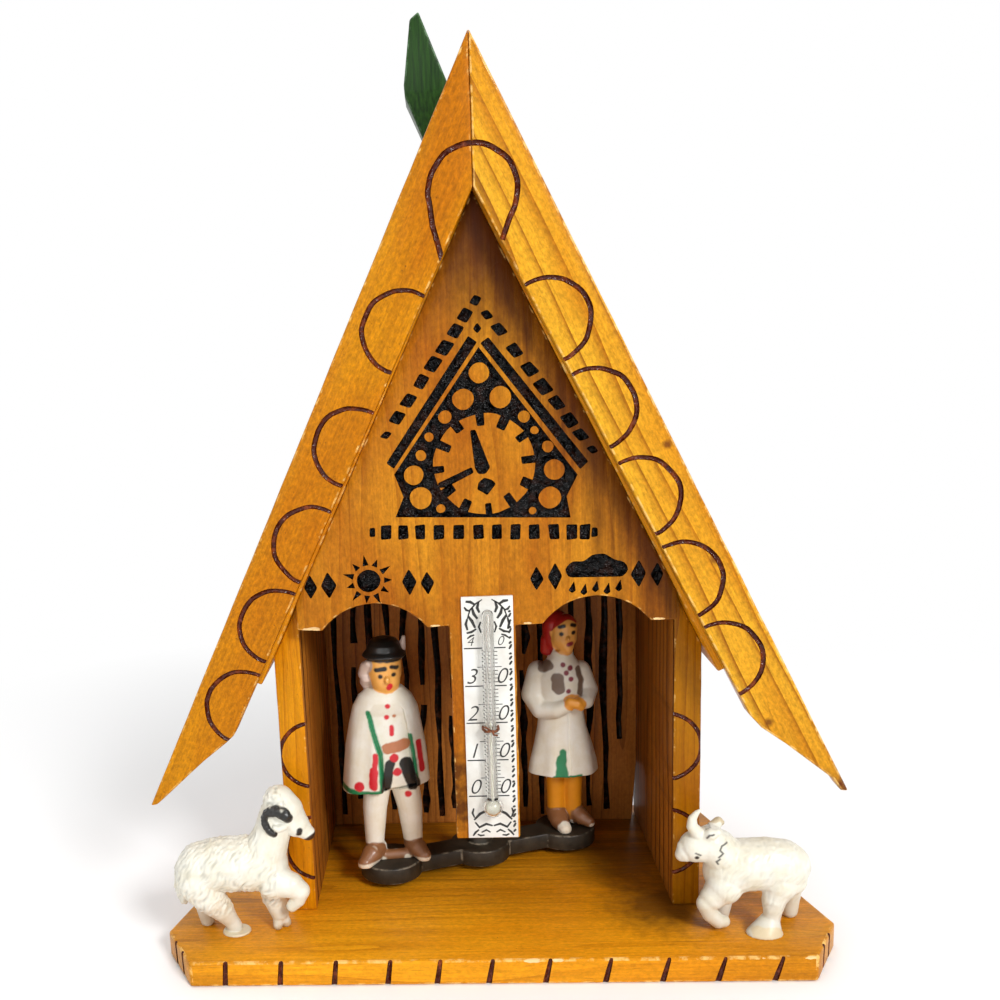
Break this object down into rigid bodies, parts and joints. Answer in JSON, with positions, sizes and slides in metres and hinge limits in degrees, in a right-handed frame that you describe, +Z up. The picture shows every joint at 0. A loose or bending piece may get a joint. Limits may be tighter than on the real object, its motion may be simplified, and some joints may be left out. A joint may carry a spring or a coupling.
{
  "type": "weather house",
  "caption": "Small pine weather house: the damp in a hanging gut turns a plate that swings one figure out and the other in, with a thermometer between the doors.",
  "frame": {"origin": "centre of the base board's underside", "axes": "+Z up, -Y out of the front doors, +X to the right as seen from the front"},
  "size_m": [0.137, 0.0724, 0.183],
  "materials": {
    "varnished_pine": "glossy amber varnish with worn pale edges",
    "dark_pine": "dark stained and varnished",
    "green_paint": "hand-painted gloss green",
    "grey_plastic": "dark moulded plastic",
    "white_plastic": "moulded plastic, hand painted",
    "card": "printed coated card",
    "glass": "clear",
    "spirit": "pale liquid",
    "rusty_wire": "rusted",
    "gut": "dry translucent gut"
  },
  "bodies": {
    "house": {"base_board": "varnished_pine", "left_wall": "varnished_pine", "right_wall": "varnished_pine", "back_wall": "dark_pine", "gable_panel": "varnished_pine", "left_roof_board": "varnished_pine", "right_roof_board": "varnished_pine", "left_bargeboard": "varnished_pine", "right_bargeboard": "varnished_pine", "chimney": "green_paint", "thermometer_card": "card", "thermometer_tube": "glass", "spirit_column": "spirit", "tube_staple": "rusty_wire", "gut_beam": "dark_pine", "gut_peg": "dark_pine", "ram_figure": "white_plastic", "goat_figure": "white_plastic"},
    "swing": {"turntable": "grey_plastic", "turntable_stem": "dark_pine", "gut_cord": "gut", "man_figure": "white_plastic", "woman_figure": "white_plastic"}
  },
  "joints": [
    {"name": "turntable_swing", "type": "hinge", "parent": "house", "child": "swing", "pos_m": [-0.0017, 0.00625, 0.0067], "axis": [0, 0, 1], "range_deg": [-54, 12], "stiffness_Nm_per_rad": 0.00002}
  ]
}
